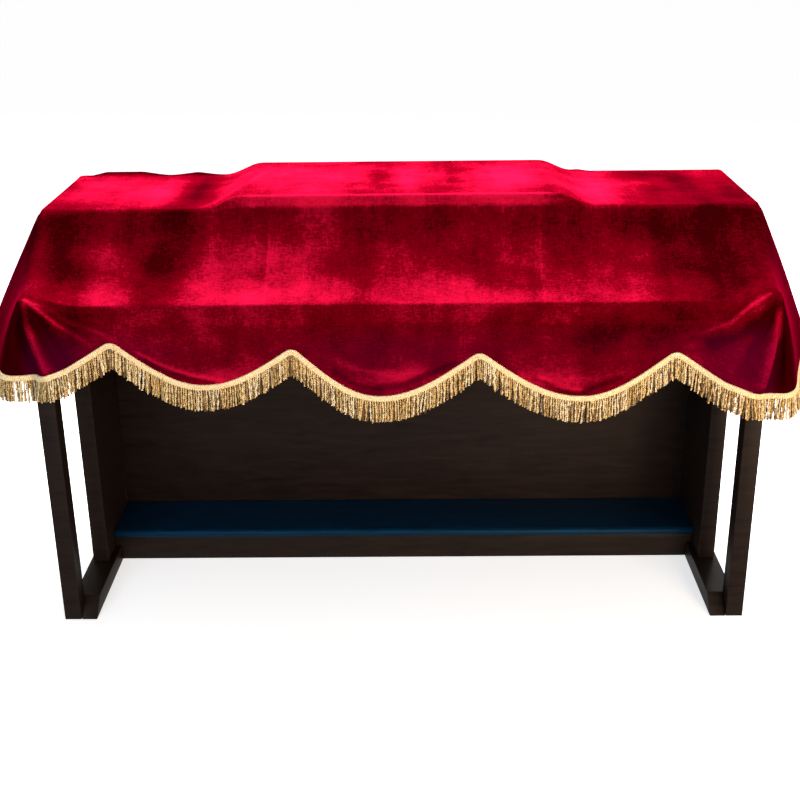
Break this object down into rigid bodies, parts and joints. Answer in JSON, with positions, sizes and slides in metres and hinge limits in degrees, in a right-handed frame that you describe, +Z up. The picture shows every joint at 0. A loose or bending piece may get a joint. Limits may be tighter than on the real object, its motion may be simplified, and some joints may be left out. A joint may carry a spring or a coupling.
{
  "type": "fringed velvet piano cover on a console piano",
  "caption": "Crimson velvet cover with a scalloped, gold-fringed hem, draped over a plain console piano on an open stand.",
  "frame": {"origin": "middle of the footprint of the whole part, on the floor it stands on", "axes": "+Z up, +X to the right of someone facing the keys, +Y towards the back of the piano"},
  "size_m": [1.6066, 0.6072, 0.837],
  "materials": {
    "velvet": "short-pile crimson velvet, brushed in soft bands",
    "bullion": "twisted gold bullion fringe with a braided heading",
    "dark_wood": "black-brown satin woodgrain laminate"
  },
  "bodies": {
    "root": {"velvet_cover": "velvet", "fringe_trim": "bullion", "upper_case": "dark_wood", "music_desk": "dark_wood", "keybed": "dark_wood", "cheek_left": "dark_wood", "cheek_right": "dark_wood", "leg_left": "dark_wood", "leg_right": "dark_wood", "upright_left": "dark_wood", "upright_right": "dark_wood", "floor_rail_left": "dark_wood", "floor_rail_right": "dark_wood", "floor_shelf": "dark_wood", "kick_board": "dark_wood", "back_panel": "dark_wood"}
  },
  "joints": []
}
